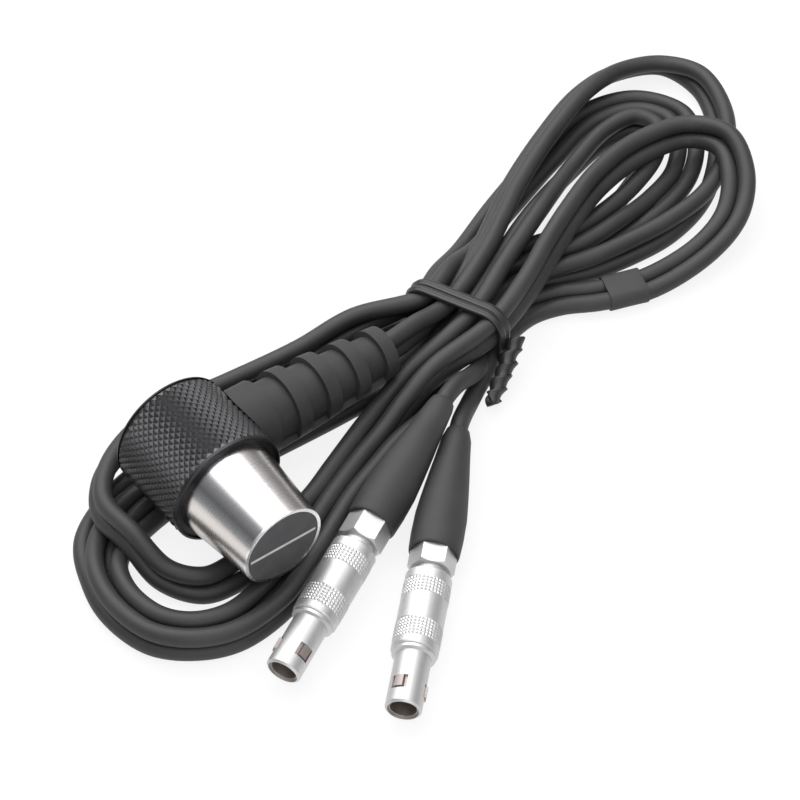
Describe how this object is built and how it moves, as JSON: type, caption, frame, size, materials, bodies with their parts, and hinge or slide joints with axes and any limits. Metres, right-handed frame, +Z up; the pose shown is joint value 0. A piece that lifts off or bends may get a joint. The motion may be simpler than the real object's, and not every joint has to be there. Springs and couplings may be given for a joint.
{
  "type": "ultrasonic thickness probe",
  "caption": "Dual-element ultrasonic thickness probe with knurled right-angle head, steel wear cone, ribbed strain relief, tied twin cable and push-pull coaxial plugs.",
  "frame": {"origin": "Centre of the contact face, on the axis of the wear cone and the barrel; the floor that the probe lies on is 11.7 mm below it.", "axes": "+X out of the contact face along the cone axis, +Y the way the strain relief leaves the barrel, seen from above, +Z up as the probe lies on its cable."},
  "size_m": [0.0778, 0.1362, 0.0206],
  "materials": {
    "barrel": "satin black",
    "cone": "turned",
    "delay": "matt",
    "barrier": "matt",
    "ceramic": "matt",
    "backing": "matt",
    "copper": "drawn",
    "brass": "turned",
    "boot": "matt",
    "nickel": "satin",
    "insulator": "matt",
    "cable": "satin",
    "shrink": "satin",
    "tie": "satin"
  },
  "bodies": {
    "probe": {"housing": "barrel", "knurl_grip": "barrel", "wear_cone": "cone", "delay_line_a": "delay", "delay_line_b": "delay", "acoustic_barrier": "barrier", "element_a": "ceramic", "element_b": "ceramic", "backing_a": "backing", "backing_b": "backing", "coil_a": "copper", "coil_b": "copper", "cable_bush": "brass", "strain_relief": "boot", "plug_body_l": "nickel", "plug_body_r": "nickel", "latch_fingers_l": "nickel", "latch_fingers_r": "nickel", "insulator_l": "insulator", "insulator_r": "insulator", "contact_l": "brass", "contact_r": "brass", "cable_nut_l": "nickel", "cable_nut_r": "nickel", "plug_boot_l": "shrink", "plug_boot_r": "shrink", "cord_a": "cable", "cord_b": "cable", "split_sleeve": "shrink", "tie_wrap_a": "tie", "tie_wrap_b": "tie", "tie_tail": "tie"},
    "sleeve_l": {"release_sleeve_l": "nickel"},
    "sleeve_r": {"release_sleeve_r": "nickel"}
  },
  "joints": [
    {"name": "release_l", "type": "slide", "parent": "probe", "child": "sleeve_l", "axis": [-0.4213, 0.9034, 0.0802], "range_m": [0, 0.001], "stiffness_N_per_m": 200},
    {"name": "release_r", "type": "slide", "parent": "probe", "child": "sleeve_r", "axis": [-0.6661, 0.745, 0.0349], "range_m": [0, 0.001], "stiffness_N_per_m": 200}
  ]
}
